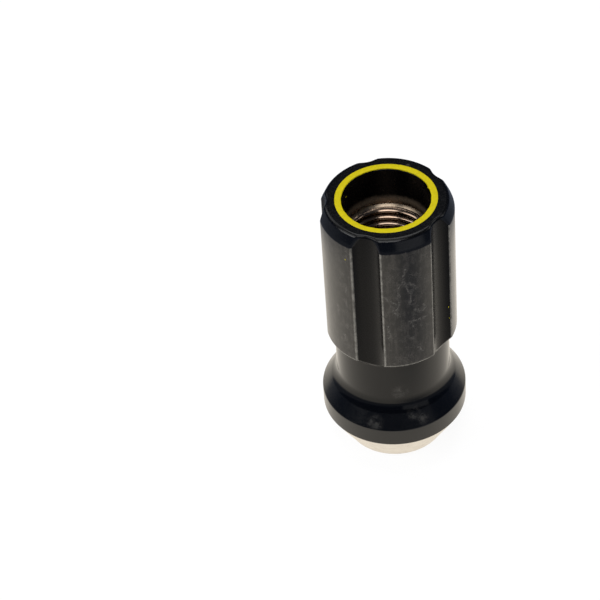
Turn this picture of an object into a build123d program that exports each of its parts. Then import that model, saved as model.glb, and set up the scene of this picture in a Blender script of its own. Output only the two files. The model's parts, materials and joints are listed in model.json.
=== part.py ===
from build123d import *
import os
from math import radians, tan

# Spline lug nut with an open end, standing on its seat end.
# The origin is the middle of that end, and +Z runs up the bore to the marked face.

# Overall sizes, in millimetres and degrees
LENGTH = 44.0
BODY_D = 19.0
NECK_D = 16.5
RIM_D = 21.0

# Spline drive: round lands between concave flutes
FLUTE_COUNT = 5
FLUTE_ARC_R = 3.0
FLUTE_FLOOR_STEP = 0.05
SPLINE_LENGTH = 21.55
SPLINE_EDGE_R = 0.25
TOP_FACE_D = 17.2
TOP_CHAMFER_HEIGHT = 2.0
TOP_EDGE_R = 0.3
UNDERSIDE_ANGLE = 45.0

# Flange and wheel seat
FLARE_ANGLE = 33.0
FLARE_R = 4.0
RIM_HEIGHT = 2.75
RIM_EDGE_R = 0.3
SEAT_HEIGHT = 5.5
SEAT_ANGLE = 60.0

# Bore at the thread's outer diameter, with a plain counterbore at the marked face
THREAD_D = 12.0
LEAD_IN = 0.5
COUNTERBORE_D = 12.4
COUNTERBORE_DEPTH = 6.5
COUNTERBORE_FLOOR_ANGLE = 45.0

# Marker ring, let into the mouth of the counterbore
RING_D = 14.3
RING_THICKNESS = 0.2

body_r = BODY_D / 2
neck_r = NECK_D / 2
rim_r = RIM_D / 2
flute_floor_r = neck_r + FLUTE_FLOOR_STEP
top_face_r = TOP_FACE_D / 2
thread_r = THREAD_D / 2
counterbore_r = COUNTERBORE_D / 2
ring_r = RING_D / 2

# Heights above the seat end
land_top = LENGTH - TOP_CHAMFER_HEIGHT
land_bottom = land_top - SPLINE_LENGTH
neck_top = land_bottom - (body_r - neck_r) * tan(radians(UNDERSIDE_ANGLE))
rim_top = SEAT_HEIGHT + RIM_HEIGHT
neck_foot = rim_top + (rim_r - neck_r) / tan(radians(FLARE_ANGLE))
counterbore_floor = LENGTH - COUNTERBORE_DEPTH
thread_top = counterbore_floor - (counterbore_r - thread_r) * tan(radians(COUNTERBORE_FLOOR_ANGLE))
ring_seat = LENGTH - RING_THICKNESS


def half_section(*points):
    """Closed face in the XZ plane, from points given as radius and height."""
    return make_face(Plane.XZ * Polyline(*points, close=True))


def eased(face, radius, height, fillet_r):
    """The same half-section with the corner at this radius and height rounded off."""
    corner = face.vertices().sort_by_distance((radius, 0, height))[0]
    return fillet(corner, fillet_r)


def spline_section():
    """Cross-section of the head: a disc with the flutes scooped out and their edges rounded."""
    flute_axis_r = flute_floor_r + FLUTE_ARC_R
    scoops = PolarLocations(flute_axis_r, FLUTE_COUNT, start_angle=-90) * Circle(FLUTE_ARC_R)
    section = Circle(body_r) - scoops
    return fillet(section.vertices(), SPLINE_EDGE_R)


def splined_head():
    """Straight splines, chamfered at the top and turned back to the neck underneath."""
    splines = extrude(Pos(0, 0, neck_top) * spline_section(), LENGTH - neck_top)
    clear_r = body_r + FLUTE_ARC_R
    overhang = clear_r - body_r
    chamfer_slope = TOP_CHAMFER_HEIGHT / (body_r - top_face_r)
    envelope = half_section(
        (0, neck_top),
        (neck_r, neck_top),
        (clear_r, land_bottom + overhang * tan(radians(UNDERSIDE_ANGLE))),
        (clear_r, land_top - overhang * chamfer_slope),
        (top_face_r, LENGTH),
        (0, LENGTH),
    )
    envelope = eased(envelope, top_face_r, LENGTH, TOP_EDGE_R)
    return splines & revolve(envelope, Axis.Z)


def neck_and_seat():
    """Neck, flared flange, rim band and conical seat, turned in one profile."""
    seat_end_r = rim_r - SEAT_HEIGHT * tan(radians(SEAT_ANGLE / 2))
    profile = half_section(
        (0, 0),
        (seat_end_r, 0),
        (rim_r, SEAT_HEIGHT),
        (rim_r, rim_top),
        (neck_r, neck_foot),
        (neck_r, neck_top),
        (0, neck_top),
    )
    profile = eased(profile, rim_r, SEAT_HEIGHT, RIM_EDGE_R)
    profile = eased(profile, rim_r, rim_top, RIM_EDGE_R)
    profile = eased(profile, neck_r, neck_foot, FLARE_R)
    return revolve(profile, Axis.Z)


def bore():
    """Space inside: lead-in at the seat end, thread bore, counterbore and the ring's seat."""
    profile = half_section(
        (0, 0),
        (thread_r + LEAD_IN, 0),
        (thread_r, LEAD_IN),
        (thread_r, thread_top),
        (counterbore_r, counterbore_floor),
        (counterbore_r, ring_seat),
        (ring_r, ring_seat),
        (ring_r, LENGTH),
        (0, LENGTH),
    )
    return revolve(profile, Axis.Z)


def marker_ring():
    """Flat ring that fills its seat, flush with the top face and the counterbore's wall."""
    return Pos(0, 0, ring_seat) * extrude(Circle(ring_r) - Circle(counterbore_r), RING_THICKNESS)


pieces = {
    "nut_body": splined_head() + neck_and_seat() - bore(),
    "marker_ring": marker_ring(),
}

os.makedirs("parts", exist_ok=True)
for name, piece in pieces.items():
    export_step(piece, f"parts/{name}.step")
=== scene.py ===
import json
from math import cos, pi, radians, sin, tan

import bpy
import numpy as np
from mathutils import Matrix, Vector


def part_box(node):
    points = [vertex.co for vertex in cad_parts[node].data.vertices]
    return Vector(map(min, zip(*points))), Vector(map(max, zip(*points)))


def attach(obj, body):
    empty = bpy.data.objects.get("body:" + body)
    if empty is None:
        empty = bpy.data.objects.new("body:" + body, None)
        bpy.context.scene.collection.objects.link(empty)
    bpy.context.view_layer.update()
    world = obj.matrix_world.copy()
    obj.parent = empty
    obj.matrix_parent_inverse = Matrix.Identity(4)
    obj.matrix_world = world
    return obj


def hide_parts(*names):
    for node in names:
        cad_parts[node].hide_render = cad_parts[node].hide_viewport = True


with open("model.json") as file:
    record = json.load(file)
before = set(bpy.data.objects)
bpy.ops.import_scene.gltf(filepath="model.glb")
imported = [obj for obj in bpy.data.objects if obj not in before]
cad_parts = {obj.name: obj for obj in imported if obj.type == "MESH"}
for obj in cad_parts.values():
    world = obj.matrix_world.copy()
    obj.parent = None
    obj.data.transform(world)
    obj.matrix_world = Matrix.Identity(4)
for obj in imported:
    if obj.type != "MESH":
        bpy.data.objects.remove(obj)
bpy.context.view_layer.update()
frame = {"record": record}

# Sizes are in millimetres and degrees, and meshes are written in metres
MM = 0.001
MOUNTS = {mount["name"]: mount for mount in frame["record"]["mounts"]}
_, BODY_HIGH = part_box("nut_body")
RING_LOW, RING_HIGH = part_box("marker_ring")

# Sizes read from the frame
LENGTH = BODY_HIGH.z / MM
RIM_R = BODY_HIGH.x / MM
RING_R = RING_HIGH.x / MM
RING_SEAT = RING_LOW.z / MM
THREAD_R = MOUNTS["stud_thread"]["dims"]["r_mm"]
COUNTERBORE_R = MOUNTS["end_counterbore"]["dims"]["r_mm"]
COUNTERBORE_FLOOR = LENGTH - MOUNTS["end_counterbore"]["dims"]["length_mm"]

# Spline head
LAND_R = 9.5
NECK_R = 8.25
FLUTE_COUNT = 5
FLUTE_ARC_R = 3.0
FLUTE_FLOOR_R = 8.3
TOP_FACE_R = 8.6
LAND_TOP = 42.0
LAND_BOTTOM = 20.45
UNDERSIDE_SLOPE = 1.0
NECK_TOP = LAND_BOTTOM - (LAND_R - NECK_R) * UNDERSIDE_SLOPE
CHAMFER_SLOPE = (LAND_R - TOP_FACE_R) / (LENGTH - LAND_TOP)

# Flange, rim band and seat
FLARE_SLOPE = tan(radians(33))
SEAT_SLOPE = tan(radians(30))
RIM_TOP = 8.25
SEAT_TOP = 5.5
SEAT_END_R = RIM_R - SEAT_TOP * SEAT_SLOPE
LEAD_IN = 0.5

# How far from a corner its rounding starts, measured along the radius
FLUTE_EDGE = 0.3
CHAMFER_EDGE = 0.03
LAND_FOOT_EDGE = 0.12
NECK_CORNER = 0.1
FLARE_BLEND = 0.72
RIM_EDGE = 0.06
TOP_EDGE_R = 0.4

# Where one finish ends and the next begins
NECK_FOOT = RIM_TOP + (RIM_R - NECK_R - FLARE_BLEND) / FLARE_SLOPE
FLUTE_SEAM = 0.24
FLUTE_SKIN = 0.06
FLUTE_TOP_GAP = 0.15
TOP_SEAM = 0.22
COAT_END = SEAT_TOP - 0.05

# Where the lands are rubbed, and where their edges are worn and carry a painted highlight
RUB_TOP = LAND_TOP + 0.05
RUB_FOOT = LAND_BOTTOM - 0.3
RUB_FLOOR_R = FLUTE_FLOOR_R - 0.1
RUB_DEPTH = 0.12
RUB_FADE = 0.1
EDGE_WEAR_AND_HIGHLIGHT = 0.6
FOOT_WEAR_AND_HIGHLIGHT = 0.3
FOOT_WEAR_AND_HIGHLIGHT_DEPTH = 0.35

# Rows of the nut's mesh
SUPPORT = 0.02
ROW_BAND = 0.2
WALL_BAND = 0.3
TOP_MIDDLE_R = 7.4
TOP_PIVOT_R = 7.7
TOP_PIVOT_Z = LENGTH - 0.6
CORNER_ROWS = 30
FLARE_ROWS_TOP = 13.2
FLARE_ROWS_FOOT = 10.2
SEAT_CORNER = 0.12
SEAT_CORNER_REACH = 0.2
BORE_ROWS = (12.0, 24.0)
COUNTERBORE_ROW = 40.0

# Right-hand stud thread
PITCH = 1.25
THREAD_CREST_R = 5.32
THREAD_CREST_HALF = 0.156
THREAD_CREST_ROUND = 0.3
THREAD_HALF_WIDTHS = (0.58, 0.42, 0.34, 0.29, 0.25, 0.21, 0.17, 0.13, 0.07)
THREAD_FLANK_SLOPE = tan(radians(60))
THREAD_MARK_ANGLE = 110.27
THREAD_MARK_HEIGHT = 36.6
THREAD_STEPS = 72
THREAD_CHAMFER = 0.45
CONE_LIP_R = 5.84
THREAD_END = 0.1
THREAD_SINK = 0.02

# Flecks of the ring's paint on the outer wall and in the counterbore: azimuth, height and size
WALL_FLECKS = [(-18.8, 39.56, 0.1), (83.5, 26.6, 0.13), (83.9, 24.4, 0.09)]
BORE_FLECKS = [(-96.2, 42.06, 0.14)]
FLECK_RISE = 0.35

# Camera at the photograph's view: place, turn about Z, tilt down, roll, lens and sensor
CAMERA_PLACE = (90.55, -245.18, 276.33)
CAMERA_TURN = 23.1
CAMERA_DOWN = 43.812
CAMERA_ROLL = -4.524
CAMERA_LENS = 152.336
CAMERA_SENSOR = 36.0

# Nearest and furthest that the camera sees, in metres
CAMERA_NEAR = 0.01
CAMERA_FAR = 50.0


def smooth_min(a, b, reach):
    """The lesser of two values, rounded where they come within reach of each other."""
    share = np.clip(reach - np.abs(a - b), 0, None) / reach
    return np.minimum(a, b) - share * share * reach / 4


def smooth_max(a, b, reach):
    return -smooth_min(-a, -b, reach)


def nearness(a, b, reach):
    """1 where two values meet, falling to 0 where they are reach apart."""
    return np.clip(1 - np.abs(a - b) / reach, 0, 1) ** 2


def flute_limit(polar):
    """Radius of the fluted section at polar angles in degrees, before the edges are rounded."""
    sector = 360 / FLUTE_COUNT
    off = np.radians((np.asarray(polar) + 90 + sector / 2) % sector - sector / 2)
    axis_r = FLUTE_FLOOR_R + FLUTE_ARC_R
    inside = FLUTE_ARC_R**2 - (axis_r * np.sin(off)) ** 2
    return np.where(inside > 0, axis_r * np.cos(off) - np.sqrt(np.clip(inside, 0, None)), LAND_R * 2)


def spline_radius(polar):
    """Radius of the fluted section with its edges rounded."""
    return smooth_min(flute_limit(polar), LAND_R, FLUTE_EDGE)


def head_radius(height):
    """Turned outline of the head without flutes: chamfer, lands and underside."""
    chamfer = TOP_FACE_R + (LENGTH - height) * CHAMFER_SLOPE
    underside = NECK_R + (height - LAND_BOTTOM) / UNDERSIDE_SLOPE + (LAND_R - NECK_R)
    outline = smooth_min(chamfer, LAND_R, CHAMFER_EDGE)
    return smooth_min(outline, underside, LAND_FOOT_EDGE)


def foot_radius(height):
    """Turned outline below the head: neck, flare, rim band and seat cone."""
    flare = RIM_R - (height - RIM_TOP) * FLARE_SLOPE
    seat = RIM_R - (SEAT_TOP - height) * SEAT_SLOPE
    outline = smooth_max(flare, NECK_R, FLARE_BLEND)
    outline = smooth_min(outline, RIM_R, RIM_EDGE)
    return smooth_min(outline, seat, RIM_EDGE)


def wall_radius(height, polar):
    """Radius of the whole outer wall at a height and polar angle."""
    head = smooth_min(head_radius(height), spline_radius(polar), FLUTE_EDGE)
    return smooth_max(head, foot_radius(height), NECK_CORNER)


def column_angles():
    """Polar angles of the mesh's columns, closer together at the flutes and their edges."""
    flute_half, edge_end = 11.4, 15.4
    sector = 360 / FLUTE_COUNT
    marks = [-edge_end, -flute_half, flute_half, edge_end, sector - edge_end]
    steps = [16, 28, 16, 22]
    spans = [np.linspace(a, b, n, endpoint=False) for a, b, n in zip(marks, marks[1:], steps)]
    one = np.concatenate(spans)
    return np.concatenate([one + sector * k - 90 for k in range(FLUTE_COUNT)])


def heights(*stops):
    """Heights from the first stop down to the last, each later stop given as height and steps."""
    found = [stops[0]]
    for height, steps in stops[1:]:
        found += list(np.linspace(found[-1], height, steps + 1)[1:])
    return found


def top_corner(polar, pivot_r, pivot_z, steps):
    """Rows that turn from the top face into the wall, found along rays from a pivot inside."""
    ray_length, halvings = 3.0, 36
    rows = []
    for angle in np.linspace(0, pi / 2, steps + 1)[1:]:
        near = np.zeros_like(polar)
        far = np.full_like(polar, ray_length)
        for _ in range(halvings):
            middle = (near + far) / 2
            r = pivot_r + middle * sin(angle)
            z = pivot_z + middle * cos(angle)
            over_top = z - LENGTH
            over_wall = r - wall_radius(np.minimum(z, LENGTH), polar)
            past_top = np.clip(over_top + TOP_EDGE_R, 0, None)
            past_wall = np.clip(over_wall + TOP_EDGE_R, 0, None)
            edge = np.hypot(past_top, past_wall)
            outside = edge + np.minimum(np.maximum(over_top, over_wall), -TOP_EDGE_R) > 0
            far = np.where(outside, middle, far)
            near = np.where(outside, near, middle)
        rows.append((pivot_r + near * sin(angle), pivot_z + near * cos(angle)))
    return rows


def mesh_object(name, points, faces, materials, face_materials=None):
    """Smooth-shaded mesh from points in millimetres, linked to the scene and riding on the nut."""
    mesh = bpy.data.meshes.new(name)
    mesh.from_pydata([tuple(p) for p in np.asarray(points) * MM], [], faces)
    for material in materials:
        mesh.materials.append(material)
    if face_materials is not None:
        mesh.polygons.foreach_set("material_index", np.asarray(face_materials, np.int32))
    mesh.shade_smooth()
    mesh.update()
    piece = bpy.data.objects.new(name, mesh)
    bpy.context.scene.collection.objects.link(piece)
    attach(piece, "root")
    return piece


def loop_faces(rows, columns):
    """Quads of a grid that closes on itself both ways."""
    faces = []
    for i in range(rows):
        below = (i + 1) % rows
        for j in range(columns):
            beside = (j + 1) % columns
            upper, lower = i * columns, below * columns
            faces.append((upper + j, lower + j, lower + beside, upper + beside))
    return faces


def paint(piece, name, values):
    """Stores one number for each point of a piece, for its material to read."""
    attribute = piece.data.attributes.new(name, "FLOAT", "POINT")
    attribute.data.foreach_set("value", np.asarray(values, np.float32).ravel())


# Order of the nut's materials
LAND, FLUTE, NECK, TOP, SEAT, BORE = range(6)


def outer_heights():
    """Heights of the rows down the outer wall, closer together where its outline turns."""
    return heights(
        TOP_PIVOT_Z,
        (LAND_TOP + ROW_BAND, 14),
        (LAND_TOP - ROW_BAND, 16),
        (LAND_TOP - 1.5, 13),
        (LAND_BOTTOM + 1.0, 10),
        (LAND_BOTTOM + 0.3, 4),
        (LAND_BOTTOM - 0.25, 16),
        (LAND_BOTTOM - 1.1, 10),
        (LAND_BOTTOM - 1.6, 8),
        (FLARE_ROWS_TOP, 5),
        (FLARE_ROWS_FOOT, 14),
        (RIM_TOP + ROW_BAND, 4),
        (RIM_TOP - ROW_BAND, 12),
        (SEAT_TOP + ROW_BAND, 3),
        (SEAT_TOP - ROW_BAND, 12),
        (1.0, 4),
        (0.15, 2),
    )


def bore_rows():
    """Radius and height of each row from the seat end up through the bore to the ring's seat."""
    lead_r = THREAD_R + LEAD_IN
    lip = COUNTERBORE_FLOOR - (COUNTERBORE_R - CONE_LIP_R)
    return [
        (lead_r + SUPPORT, 0),
        (lead_r, SUPPORT),
        (THREAD_R + SUPPORT, LEAD_IN - SUPPORT),
        (THREAD_R, LEAD_IN + SUPPORT),
        *[(THREAD_R, z) for z in BORE_ROWS],
        (THREAD_R, lip - ROW_BAND),
        (CONE_LIP_R + SUPPORT, lip - SUPPORT),
        (CONE_LIP_R, lip),
        (CONE_LIP_R + SUPPORT, lip + SUPPORT),
        (COUNTERBORE_R - SUPPORT, COUNTERBORE_FLOOR - SUPPORT),
        (COUNTERBORE_R, COUNTERBORE_FLOOR + SUPPORT),
        (COUNTERBORE_R, COUNTERBORE_FLOOR + WALL_BAND),
        (COUNTERBORE_R, COUNTERBORE_ROW),
        (COUNTERBORE_R, RING_SEAT - WALL_BAND),
        (COUNTERBORE_R, RING_SEAT),
        (RING_R, RING_SEAT),
    ]


def nut_rows(polar):
    """Rows of radii and heights round the nut's skin, then where the coated and the seat rows end."""
    even = np.ones_like(polar)
    top_radii = (RING_R, RING_R + SUPPORT, TOP_MIDDLE_R, TOP_PIVOT_R)
    rows = [(r * even, LENGTH * even) for r in top_radii]
    rows += top_corner(polar, TOP_PIVOT_R, TOP_PIVOT_Z, CORNER_ROWS)
    coat_end = len(rows)
    for height in outer_heights()[1:]:
        rows.append((wall_radius(height, polar), height * even))
        if height > COAT_END:
            coat_end += 1
    for angle in radians(30), radians(60), radians(90):
        r = SEAT_END_R - SEAT_CORNER + SEAT_CORNER_REACH * cos(angle)
        z = SEAT_CORNER - SEAT_CORNER * sin(angle)
        rows.append((r * even, z * even))
    # The seat's steel runs on across the annular end to the edge of the bore
    seat_end = len(rows) + 1
    rows += [(r * even, z * even) for r, z in bore_rows()]
    return rows, coat_end, seat_end


def nut_finish(polar, radius, height, coat_end, seat_end):
    """Number of the material that each face of the nut takes."""
    row = np.arange(len(radius))[:, None]
    scoop = flute_limit(polar)[None, :]
    fluted = (scoop < head_radius(height) - FLUTE_SEAM) & (radius > scoop - FLUTE_SKIN)
    fluted &= (height < LENGTH - FLUTE_TOP_GAP) & (height >= NECK_TOP)
    on_neck = (height > NECK_FOOT) & (height < NECK_TOP)
    finish = np.where(fluted, FLUTE, np.where(on_neck, NECK, LAND))
    finish = np.where(height > LENGTH - TOP_SEAM, TOP, finish)
    return np.where(row < coat_end, finish, np.where(row < seat_end, SEAT, BORE))


def nut_body(materials):
    """The whole nut as one closed skin: top face, splines, neck, flange, seat and bore."""
    polar = column_angles()
    rows, coat_end, seat_end = nut_rows(polar)
    radius = np.array([row[0] for row in rows])
    height = np.array([row[1] for row in rows])
    turn = np.radians(polar)
    points = np.stack([radius * np.cos(turn), radius * np.sin(turn), height], axis=-1).reshape(-1, 3)
    finish = nut_finish(polar, radius, height, coat_end, seat_end)
    body = mesh_object("nut", points, loop_faces(len(rows), len(polar)), materials, finish.ravel())
    on_head = (height > RUB_FOOT) & (height < RUB_TOP) & (radius > RUB_FLOOR_R)
    rubbed = np.clip((radius - LAND_R + RUB_DEPTH) / RUB_FADE, 0, 1)
    paint(body, "land", np.where(on_head, rubbed, 0))
    # Band along the flute edges and the lands' foot, for worn coat and a painted highlight
    flute_edges = nearness(flute_limit(polar)[None, :], head_radius(height), EDGE_WEAR_AND_HIGHLIGHT)
    foot_edge = nearness(height, LAND_BOTTOM, FOOT_WEAR_AND_HIGHLIGHT) * (radius > LAND_R - FOOT_WEAR_AND_HIGHLIGHT_DEPTH)
    paint(body, "edge", np.where(on_head, np.maximum(flute_edges, foot_edge), 0))
    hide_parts("nut_body")


def stud_thread(steel):
    """Helical ridge on the bore's wall, cut back by the cones at both ends of the bore."""
    half = np.array(THREAD_HALF_WIDTHS)
    rise = np.concatenate([-half, half[::-1]])
    flank = THREAD_CREST_R + (np.abs(rise) - THREAD_CREST_HALF) * THREAD_FLANK_SLOPE
    section = list(zip(rise, smooth_max(flank, THREAD_CREST_R, THREAD_CREST_ROUND)))
    turns = (COUNTERBORE_FLOOR - LEAD_IN) / PITCH
    count = int(turns * THREAD_STEPS)
    first = radians(THREAD_MARK_ANGLE) + (LEAD_IN - THREAD_MARK_HEIGHT) / PITCH * 2 * pi
    points, faces = [], []
    for step in range(count + 1):
        turned = 2 * pi * step / THREAD_STEPS
        for lift, r in section:
            z = max(LEAD_IN + PITCH * turned / (2 * pi) + lift, THREAD_END)
            below_floor = COUNTERBORE_FLOOR - z
            if below_floor < THREAD_CHAMFER:
                r = max(r, COUNTERBORE_R - below_floor + THREAD_SINK)
            r = max(r, THREAD_R + (LEAD_IN - z) + THREAD_SINK)
            points.append((r * cos(first + turned), r * sin(first + turned), z))
    size = len(section)
    for step in range(count):
        for k in range(size):
            a = step * size + k
            b = step * size + (k + 1) % size
            faces.append((a, b, b + size, a + size))
    faces.append(tuple(reversed(range(size))))
    faces.append(tuple(range(count * size, count * size + size)))
    piece = mesh_object("stud_thread", points, faces, [steel])


def marker_ring(yellow):
    """Band of colour round the mouth, softly domed, with an inner edge that is not quite even."""
    spur_angle, spur_width, spur_reach = 38.0, 1.4, 0.1
    inner_gap, outer_gap = 0.02, 0.004
    waves = [(7, 0.016, 1.0), (17, 0.012, 0.0), (31, 0.01, 2.0)]
    polar = np.linspace(0, 360, 480, endpoint=False)
    turn = np.radians(polar)
    uneven = sum(size * np.sin(count * turn + phase) for count, size, phase in waves)
    off_spur = (polar - spur_angle + 180) % 360 - 180
    spur = spur_reach * np.exp(-((off_spur / spur_width) ** 2))
    inner = COUNTERBORE_R + inner_gap + uneven - spur
    outer = RING_R - outer_gap
    section = [
        (0.0, 0.0), (0.0, 0.1), (0.02, 0.155), (0.06, 0.185), (0.14, 0.195), (0.5, 0.2),
        (0.9, 0.2), (0.97, 0.195), (1.0, 0.185), (1.0, 0.0),
    ]
    radius = np.array([inner + (outer - inner) * share for share, _ in section])
    height = np.array([np.full_like(polar, RING_SEAT + rise) for _, rise in section])
    points = np.stack([radius * np.cos(turn), radius * np.sin(turn), height], axis=-1).reshape(-1, 3)
    piece = mesh_object("marker_band", points, loop_faces(len(section), len(polar)), [yellow])
    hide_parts("marker_ring")


def fleck(azimuth, height, size, inward, start):
    """Points and faces of one low ragged dome on a wall, its points numbered from start."""
    rings, spokes = 6, 12
    polar = azimuth - 90
    up = Vector((0, 0, 1))
    out = Vector((cos(radians(polar)), sin(radians(polar)), 0))
    base_r = COUNTERBORE_R if inward else float(wall_radius(height, np.array(polar)))
    centre = out * base_r + Vector((0, 0, height))
    normal = -out if inward else out
    along = up.cross(normal)
    rise = size * FLECK_RISE
    points, faces = [], []
    for i in range(1, rings):
        lift = pi * i / rings
        for j in range(spokes):
            swing = 2 * pi * j / spokes
            ragged = 1 + 0.22 * sin(3 * swing + azimuth) + 0.12 * sin(5 * swing + height)
            flat = along * cos(swing) + up * sin(swing)
            points.append(centre + flat * size * ragged * sin(lift) + normal * rise * cos(lift))
    points.append(centre + normal * rise)
    points.append(centre - normal * rise)
    top = start + len(points) - 2
    bottom = top + 1
    last = start + (rings - 2) * spokes
    for j in range(spokes):
        beside = (j + 1) % spokes
        faces.append((top, start + j, start + beside))
        faces.append((bottom, last + beside, last + j))
        for i in range(rings - 2):
            a = start + i * spokes
            b = a + spokes
            faces.append((a + j, b + j, b + beside, a + beside))
    return points, faces


def paint_specks(yellow):
    """Flecks of the ring's paint that landed on the nut, as low domes on its surface."""
    places = [(*place, False) for place in WALL_FLECKS] + [(*place, True) for place in BORE_FLECKS]
    points, faces = [], []
    for azimuth, height, size, inward in places:
        new_points, new_faces = fleck(azimuth, height, size, inward, len(points))
        points += new_points
        faces += new_faces
    piece = mesh_object("paint_flecks", points, faces, [yellow])


# Sockets of a colour mix node
MIX_A, MIX_B, MIX_RESULT = 6, 7, 2


class Shader:
    """A material's node tree, with short calls for the nodes used here."""

    def __init__(self, name):
        self.material = bpy.data.materials.new(name)
        self.material.use_nodes = True
        self.tree = self.material.node_tree
        self.surface = self.tree.nodes["Principled BSDF"]

    def plug(self, socket, value):
        if isinstance(value, bpy.types.NodeSocket):
            self.tree.links.new(value, socket)
        else:
            socket.default_value = value

    def node(self, kind, inputs=(), output=0, **settings):
        made = self.tree.nodes.new(kind)
        for key, value in settings.items():
            setattr(made, key, value)
        for key, value in dict(inputs).items():
            self.plug(made.inputs[key], value)
        return made.outputs[output]

    def math(self, operation, *values, clamp=False):
        return self.node("ShaderNodeMath", enumerate(values), operation=operation, use_clamp=clamp)

    def vector(self, operation, *values, output=0):
        return self.node("ShaderNodeVectorMath", enumerate(values), output, operation=operation)

    def place(self):
        """Place on the part in millimetres."""
        place = self.node("ShaderNodeTexCoord", output="Object")
        return self.node("ShaderNodeVectorMath", {"Vector": place, "Scale": 1 / MM}, operation="SCALE")

    def wrapped(self, place, radius):
        """Place on the unrolled wall in millimetres: along the arc from -Y towards +X, and up."""
        x, y, z = self.split(place)
        arc = self.math("MULTIPLY", self.math("ARCTAN2", x, self.math("MULTIPLY", y, -1.0)), radius)
        return self.node("ShaderNodeCombineXYZ", {"X": arc, "Y": z})

    def split(self, vector):
        made = self.tree.nodes.new("ShaderNodeSeparateXYZ")
        self.plug(made.inputs[0], vector)
        return made.outputs

    def stretched(self, place, x, y, z):
        return self.vector("MULTIPLY", place, (x, y, z))

    def noise(self, place, scale, detail=3.0, roughness=0.55, distortion=0.0):
        inputs = {"Vector": place, "Scale": scale, "Detail": detail}
        inputs |= {"Roughness": roughness, "Distortion": distortion}
        return self.node("ShaderNodeTexNoise", inputs, "Fac")

    def ramp(self, value, low, high, start=0.0, end=1.0):
        """Smooth step from start to end as a value goes from low to high."""
        inputs = {"Value": value, "From Min": low, "From Max": high, "To Min": start, "To Max": end}
        return self.node("ShaderNodeMapRange", inputs, interpolation_type="SMOOTHSTEP")

    def mix(self, share, a, b):
        made = self.tree.nodes.new("ShaderNodeMix")
        made.data_type = "RGBA"
        self.plug(made.inputs[0], share)
        self.plug(made.inputs[MIX_A], a)
        self.plug(made.inputs[MIX_B], b)
        return made.outputs[MIX_RESULT]

    def stored(self, name):
        return self.node("ShaderNodeAttribute", output="Fac", attribute_name=name)

    def bump(self, height, depth):
        inputs = {"Height": height, "Distance": depth * MM, "Strength": 1.0}
        return self.node("ShaderNodeBump", inputs)

    def set(self, **sockets):
        for name, value in sockets.items():
            self.plug(self.surface.inputs[name.replace("_", " ")], value)


def tone(red, green, blue):
    return (red, green, blue, 1.0)


DEEP_BLACK = tone(0.0015, 0.0016, 0.0020)
RUBBED_BLACK = tone(0.048, 0.043, 0.037)
# Light colour of the flute edges and the lands' foot: partly worn coat, partly a painted highlight of their
# rounded edges
WORN_EDGE_AND_HIGHLIGHT = tone(0.34, 0.32, 0.28)
DUST = tone(0.30, 0.28, 0.25)
BORE_BLACK = tone(0.0006, 0.0006, 0.0008)
CONE_STEEL = tone(0.28, 0.22, 0.16)
WALL_STEEL = tone(0.30, 0.23, 0.165)
SEAT_STEEL = tone(0.74, 0.71, 0.66)
SEAT_STAIN = tone(0.66, 0.62, 0.57)
THREAD_STEEL = tone(0.36, 0.26, 0.19)
THREAD_STAIN = tone(0.27, 0.20, 0.15)
YELLOW = tone(0.585, 0.49, 0.001)
DEEP_YELLOW = tone(0.53, 0.44, 0.001)

# Scuffs on the lands: millimetres round the land from -Y towards +X, and height
SCUFF_LINES = [
    [(5.5, 39.0), (5.2, 37.0), (5.6, 35.6), (6.2, 34.2), (6.1, 32.4)],
    [(5.2, 37.0), (4.6, 35.7), (4.4, 34.0), (4.6, 32.5), (4.0, 31.2)],
    [(2.5, 34.0), (3.3, 33.2), (4.1, 32.6)],
    [(3.4, 32.2), (3.9, 31.0), (4.5, 30.4)],
    [(5.6, 36.4), (6.6, 35.8), (7.0, 35.0), (6.2, 34.6)],
    [(6.9, 31.0), (7.6, 30.2), (8.3, 30.6), (8.2, 31.4)],
    [(6.0, 29.0), (7.2, 28.8), (8.4, 28.9)],
    [(6.2, 28.8), (6.4, 27.8)],
    [(5.8, 25.9), (6.0, 25.5), (6.4, 25.4)],
    [(7.2, 23.4), (7.7, 22.5)],
    [(-3.4, 26.8), (-3.6, 26.2)],
    [(-3.2, 34.6), (-3.4, 33.2)],
    [(-3.5, 31.6), (-3.3, 30.6)],
    [(-4.2, 24.4), (-3.9, 23.6)],
    [(-5.2, 29.5), (-5.0, 28.0)],
    [(2.9, 28.4), (3.0, 26.0)],
]

# Dusty smudges on the neck, flange and top face: azimuth, radius, height and size
SMUDGES = [
    (25.5, 8.3, 14.0, 1.7),
    (36.9, 9.2, 10.2, 1.3),
    (2.5, 9.9, 9.2, 1.6),
    (44.0, 9.9, 9.2, 1.2),
    (174.0, 7.4, 44.0, 0.5),
]


def strokes(shader, where, lines, width):
    """1 along listed lines on the unrolled wall, falling to 0 at their width."""
    nearest = None
    for line in lines:
        for (u0, v0), (u1, v1) in zip(line, line[1:]):
            run = (u1 - u0, v1 - v0, 0.0)
            length2 = run[0] ** 2 + run[1] ** 2
            start = shader.vector("SUBTRACT", where, (u0, v0, 0.0))
            reached = shader.vector("DOT_PRODUCT", start, run, output=1)
            along = shader.math("DIVIDE", reached, length2, clamp=True)
            foot = shader.node("ShaderNodeVectorMath", {"Vector": run, "Scale": along}, operation="SCALE")
            gap = shader.vector("DISTANCE", start, foot, output=1)
            nearest = gap if nearest is None else shader.math("MINIMUM", nearest, gap)
    return shader.ramp(nearest, 0.0, width, 1.0, 0.0)


def patch(shader, place, centre, size):
    """1 at a place on the part, falling to 0 at a size away."""
    return shader.ramp(shader.vector("DISTANCE", place, centre, output=1), 0.0, size, 1.0, 0.0)


def on_wall(azimuth, radius, height):
    """Point in millimetres at an azimuth from -Y towards +X."""
    return (radius * sin(radians(azimuth)), -radius * cos(radians(azimuth)), height)


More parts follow.
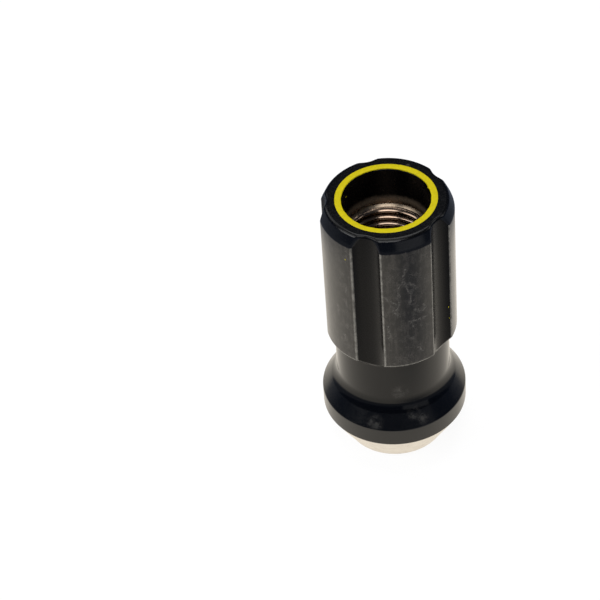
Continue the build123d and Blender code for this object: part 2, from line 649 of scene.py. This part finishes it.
def dusty(shader, place, smudges):
    """Share of dust on a surface, ragged, round places given as azimuth, radius, height and size."""
    share = None
    for azimuth, radius, height, size in smudges:
        one = patch(shader, place, on_wall(azimuth, radius, height), size)
        share = one if share is None else shader.math("MAXIMUM", share, one)
    ragged = shader.ramp(shader.noise(place, 1.2, 2.0, 0.5), 0.25, 0.8)
    return shader.math("MULTIPLY", share, ragged)


def black_coat():
    """Burnished black coat of the lands, flange and rim: scuffed, dusty in places, and worn at the edges
    with a painted highlight along them.
    """
    s = Shader("black_coat")
    place = s.place()
    wall = s.wrapped(place, LAND_R)
    land = s.stored("land")
    edge = s.stored("edge")
    grain = s.noise(place, 2.4, 5.0, 0.65)
    drawn = s.noise(s.stretched(wall, 3.0, 0.16, 1.0), 1.0, 4.0, 0.6)
    cloud = s.noise(place, 0.45, 3.0, 0.6)
    mottle = s.noise(s.stretched(wall, 1.0, 0.6, 1.0), 1.1, 6.0, 0.72)
    blotches = s.math("MULTIPLY_ADD", drawn, 0.5, mottle)
    rubbed = s.math("MULTIPLY", land, s.ramp(blotches, 0.69, 0.87))
    colour = s.mix(rubbed, DEEP_BLACK, RUBBED_BLACK)

    drift = s.node("ShaderNodeTexNoise", {"Vector": wall, "Scale": 1.6, "Detail": 3.0}, "Color")
    drift = s.vector("MULTIPLY", s.vector("SUBTRACT", drift, (0.5, 0.5, 0.5)), (1.1, 1.1, 0.0))
    wisps = s.math("MULTIPLY", strokes(s, s.vector("ADD", wall, drift), SCUFF_LINES, 0.34), land)
    scuffs = s.math("MULTIPLY", wisps, s.ramp(s.noise(wall, 3.0, 5.0, 0.75), 0.4, 0.64))
    strands = s.noise(s.vector("ADD", wall, drift), 0.9, 4.0, 0.65, 1.4)
    strands = s.ramp(s.math("ABSOLUTE", s.math("SUBTRACT", strands, 0.5)), 0.0, 0.022, 1.0, 0.0)
    strands = s.math("MULTIPLY", s.math("MULTIPLY", strands, land), s.ramp(cloud, 0.42, 0.62))
    colour = s.mix(s.math("MULTIPLY", strands, 0.35), colour, DUST)
    colour = s.mix(s.math("MULTIPLY", scuffs, 0.65), colour, DUST)
    smudges = dusty(s, place, SMUDGES)
    colour = s.mix(s.math("MULTIPLY", smudges, 0.16), colour, DUST)

    # Light band along the edges: worn coat and a painted highlight
    edge_wear_and_highlight = s.math("MULTIPLY", edge, s.ramp(s.noise(place, 0.9, 4.0, 0.6), 0.35, 0.62, 0.3, 0.8))
    colour = s.mix(edge_wear_and_highlight, colour, WORN_EDGE_AND_HIGHLIGHT)
    dull = s.math("MULTIPLY", s.math("MAXIMUM", scuffs, smudges), 0.3)
    gloss = s.math("MULTIPLY_ADD", land, -0.12, s.ramp(grain, 0.3, 0.7, 0.17, 0.23))
    s.set(Base_Color=colour, Roughness=s.math("ADD", gloss, dull))
    ridges = s.math("MULTIPLY", s.math("MULTIPLY", drawn, land), 1.4)
    relief = s.math("ADD", s.math("MULTIPLY", grain, 0.3), ridges)
    s.set(Normal=s.bump(relief, 0.003), IOR=1.5)
    return s.material


def recess_coat(name, ior, smooth, rough):
    """Black coat where no tool rubs it, with its own gloss and the same dust."""
    s = Shader(name)
    place = s.place()
    grain = s.noise(place, 2.4, 5.0, 0.65)
    smudges = dusty(s, place, SMUDGES)
    s.set(Base_Color=s.mix(s.math("MULTIPLY", smudges, 0.22), DEEP_BLACK, DUST), IOR=ior)
    s.set(Roughness=s.ramp(grain, 0.3, 0.7, smooth, rough), Normal=s.bump(grain, 0.0004))
    return s.material


def bare_steel(name, colour, dark, roughness):
    """Turned bare steel, with fine rings round its axis and a slight stain."""
    s = Shader(name)
    place = s.place()
    x, y, z = s.split(place)
    out = s.math("SQRT", s.math("ADD", s.math("MULTIPLY", x, x), s.math("MULTIPLY", y, y)))
    rings = s.noise(s.node("ShaderNodeCombineXYZ", {"X": out, "Y": 0.0, "Z": z}), 9.0, 4.0, 0.6)
    stain = s.noise(place, 0.8, 4.0, 0.6)
    s.set(Base_Color=s.mix(s.ramp(stain, 0.35, 0.7), colour, dark), Metallic=1.0)
    s.set(Roughness=s.ramp(rings, 0.3, 0.7, roughness - 0.06, roughness + 0.06), Normal=s.bump(rings, 0.004))
    return s.material


def bore_finish():
    """Counterbore and bore wall: coat that thins out into stained steel at the counterbore's floor."""
    s = Shader("bore_finish")
    place = s.place()
    z = s.split(place)["Z"]
    patchy = s.math("ADD", z, s.noise(place, 0.7, 4.0, 0.6))
    coated = s.ramp(patchy, COUNTERBORE_FLOOR + 0.5, COUNTERBORE_FLOOR + 2.4)
    above_floor = s.ramp(z, COUNTERBORE_FLOOR, COUNTERBORE_FLOOR + 0.1)
    steel = s.mix(above_floor, CONE_STEEL, WALL_STEEL)
    s.set(Base_Color=s.mix(coated, steel, BORE_BLACK), Specular_IOR_Level=0.12)
    s.set(Metallic=s.math("SUBTRACT", 1.0, coated))
    s.set(Roughness=s.ramp(s.noise(place, 1.5), 0.3, 0.7, 0.24, 0.34))
    return s.material


def marker_yellow():
    """Yellow enamel with a faint mottle."""
    s = Shader("marker_yellow")
    place = s.place()
    mottle = s.noise(place, 1.6, 4.0, 0.6)
    s.set(Base_Color=s.mix(s.ramp(mottle, 0.35, 0.7), YELLOW, DEEP_YELLOW))
    s.set(Roughness=0.5, Specular_IOR_Level=0.15, Normal=s.bump(s.noise(place, 5.0, 3.0), 0.006))
    return s.material


# Surroundings, with the floor's reach in metres and its places and radii in millimetres
HORIZON = tone(0.03, 0.05, 0.10)
CEILING = tone(0.035, 0.037, 0.042)
WHITE = tone(1, 1, 1)
FLOOR_REACH = 6.0
FLOOR_SHOWN = tone(0.9, 0.9, 0.9)
FLOOR_MIRRORED = tone(0.95, 0.875, 0.755)
FLOOR_SHADOWED = tone(0.13, 0.13, 0.13)
FLOOR_BOUNCE = tone(0.8, 0.8, 0.8)
FLOOR_LIT_CENTRE = (2.1, -5.6, 0.0)
FLOOR_LIT_R = 46.0
FLOOR_DIM_R = 61.0
FLOOR_SHADE_CENTRE = (35.5, -27.7, 0.0)
FLOOR_SHADE_R = 31.0
FLOOR_SHADE = 0.8


def floor_material():
    """Floor that is white to the camera, keeps shadows, and in reflections is bright only round the nut."""
    s = Shader("white_floor")
    nodes, links = s.tree.nodes, s.tree.links
    nodes.remove(s.surface)
    rays = nodes.new("ShaderNodeLightPath").outputs
    seen = s.math("MAXIMUM", rays["Is Camera Ray"], rays["Is Glossy Ray"])
    seen = s.math("MAXIMUM", seen, rays["Is Transmission Ray"])
    place = s.place()
    from_lit = s.vector("DISTANCE", place, FLOOR_LIT_CENTRE, output=1)
    lit = s.ramp(from_lit, FLOOR_LIT_R, FLOOR_DIM_R, 1.0, 0.0)
    from_shade = s.vector("DISTANCE", place, FLOOR_SHADE_CENTRE, output=1)
    shaded = s.ramp(from_shade, 0.0, FLOOR_SHADE_R, FLOOR_SHADE, 0.0)
    mirrored = s.mix(lit, HORIZON, s.mix(shaded, FLOOR_MIRRORED, HORIZON))
    level = s.mix(rays["Is Camera Ray"], mirrored, FLOOR_SHOWN)
    glow = s.node("ShaderNodeEmission", {"Color": level, "Strength": 1.0})
    shadow = s.node("ShaderNodeBsdfDiffuse", {"Color": FLOOR_SHADOWED})
    bounce = s.node("ShaderNodeBsdfDiffuse", {"Color": FLOOR_BOUNCE})
    shown = s.node("ShaderNodeAddShader", {0: glow, 1: shadow})
    both = s.node("ShaderNodeMixShader", {0: seen, 1: bounce, 2: shown})
    links.new(both, nodes["Material Output"].inputs["Surface"])
    return s.material


def ground():
    """Wide flat floor under the nut."""
    reach = FLOOR_REACH
    corners = [(-reach, -reach, 0), (reach, -reach, 0), (reach, reach, 0), (-reach, reach, 0)]
    mesh = bpy.data.meshes.new("floor")
    mesh.from_pydata(corners, [], [(0, 1, 2, 3)])
    mesh.materials.append(floor_material())
    floor = bpy.data.objects.new("floor", mesh)
    bpy.context.scene.collection.objects.link(floor)


def surroundings():
    """World that is white to the camera, and dim from horizon to ceiling in light and reflections."""
    world = bpy.data.worlds.new("studio")
    bpy.context.scene.world = world
    world.use_nodes = True
    tree = world.node_tree
    rays = tree.nodes.new("ShaderNodeLightPath").outputs
    direction = tree.nodes.new("ShaderNodeTexCoord").outputs["Generated"]
    split = tree.nodes.new("ShaderNodeSeparateXYZ")
    sky = tree.nodes.new("ShaderNodeMix")
    sky.data_type = "RGBA"
    sky.inputs[MIX_A].default_value = HORIZON
    sky.inputs[MIX_B].default_value = CEILING
    shown = tree.nodes.new("ShaderNodeMix")
    shown.data_type = "RGBA"
    shown.inputs[MIX_B].default_value = WHITE
    tree.links.new(direction, split.inputs[0])
    tree.links.new(split.outputs["Z"], sky.inputs[0])
    tree.links.new(sky.outputs[MIX_RESULT], shown.inputs[MIX_A])
    tree.links.new(rays["Is Camera Ray"], shown.inputs[0])
    tree.links.new(shown.outputs[MIX_RESULT], tree.nodes["Background"].inputs["Color"])


def studio():
    """Floor, dim surroundings and soft lamps, whose distances and sizes are in metres."""
    ground()
    surroundings()
    lamp("front", azimuth=20, elevation=51, distance=0.8, size=0.5, power=2.4)
    lamp("top", azimuth=200, elevation=74, distance=0.8, size=0.56, power=3.4)
    lamp("left", azimuth=-110, elevation=40, distance=0.7, size=0.3, power=0.6)
    lamp("right", azimuth=120, elevation=35, distance=0.7, size=0.3, power=0.6)
    lamp("window", azimuth=-47, elevation=37, distance=0.7, size=0.45, power=1.7)
    lamp("card", azimuth=54, elevation=4, distance=0.5, size=0.4, power=0.06, tall=0.14)


def lamp(name, azimuth, elevation, distance, size, power, tall=None):
    """Soft lamp aimed at the nut's middle, square unless tall is given. Azimuth runs from -Y towards +X."""
    light = bpy.data.lights.new(name, "AREA")
    light.shape = "RECTANGLE"
    light.size = size
    light.size_y = tall or size
    light.energy = power
    lit = bpy.data.objects.new(name, light)
    target = Vector((0, 0, LENGTH * MM / 2))
    flat = cos(radians(elevation))
    away = Vector((sin(radians(azimuth)) * flat, -cos(radians(azimuth)) * flat, sin(radians(elevation))))
    lit.location = target + away * distance
    lit.rotation_euler = (-away).to_track_quat("-Z", "Y").to_euler()
    bpy.context.scene.collection.objects.link(lit)


def camera():
    """Camera at the photograph's view."""
    data = bpy.data.cameras.new("camera")
    data.lens = CAMERA_LENS
    data.sensor_width = CAMERA_SENSOR
    data.clip_start = CAMERA_NEAR
    data.clip_end = CAMERA_FAR
    eye = bpy.data.objects.new("camera", data)
    turn = Matrix.Rotation(radians(CAMERA_TURN), 4, "Z")
    tip = Matrix.Rotation(radians(90 - CAMERA_DOWN), 4, "X")
    roll = Matrix.Rotation(radians(CAMERA_ROLL), 4, "Z")
    eye.matrix_world = Matrix.Translation(Vector(CAMERA_PLACE) * MM) @ turn @ tip @ roll
    bpy.context.scene.collection.objects.link(eye)
    bpy.context.scene.camera = eye


bpy.context.scene.view_settings.view_transform = "Standard"
yellow = marker_yellow()
seat_steel = bare_steel("seat_steel", SEAT_STEEL, SEAT_STAIN, 0.32)
thread_steel = bare_steel("thread_steel", THREAD_STEEL, THREAD_STAIN, 0.16)
flute_coat = recess_coat("flute_coat", ior=1.23, smooth=0.2, rough=0.3)
neck_coat = recess_coat("neck_coat", ior=1.36, smooth=0.08, rough=0.13)
top_coat = recess_coat("top_coat", ior=1.3, smooth=0.2, rough=0.3)
nut_body([black_coat(), flute_coat, neck_coat, top_coat, seat_steel, bore_finish()])
stud_thread(thread_steel)
marker_ring(yellow)
paint_specks(yellow)
studio()
camera()
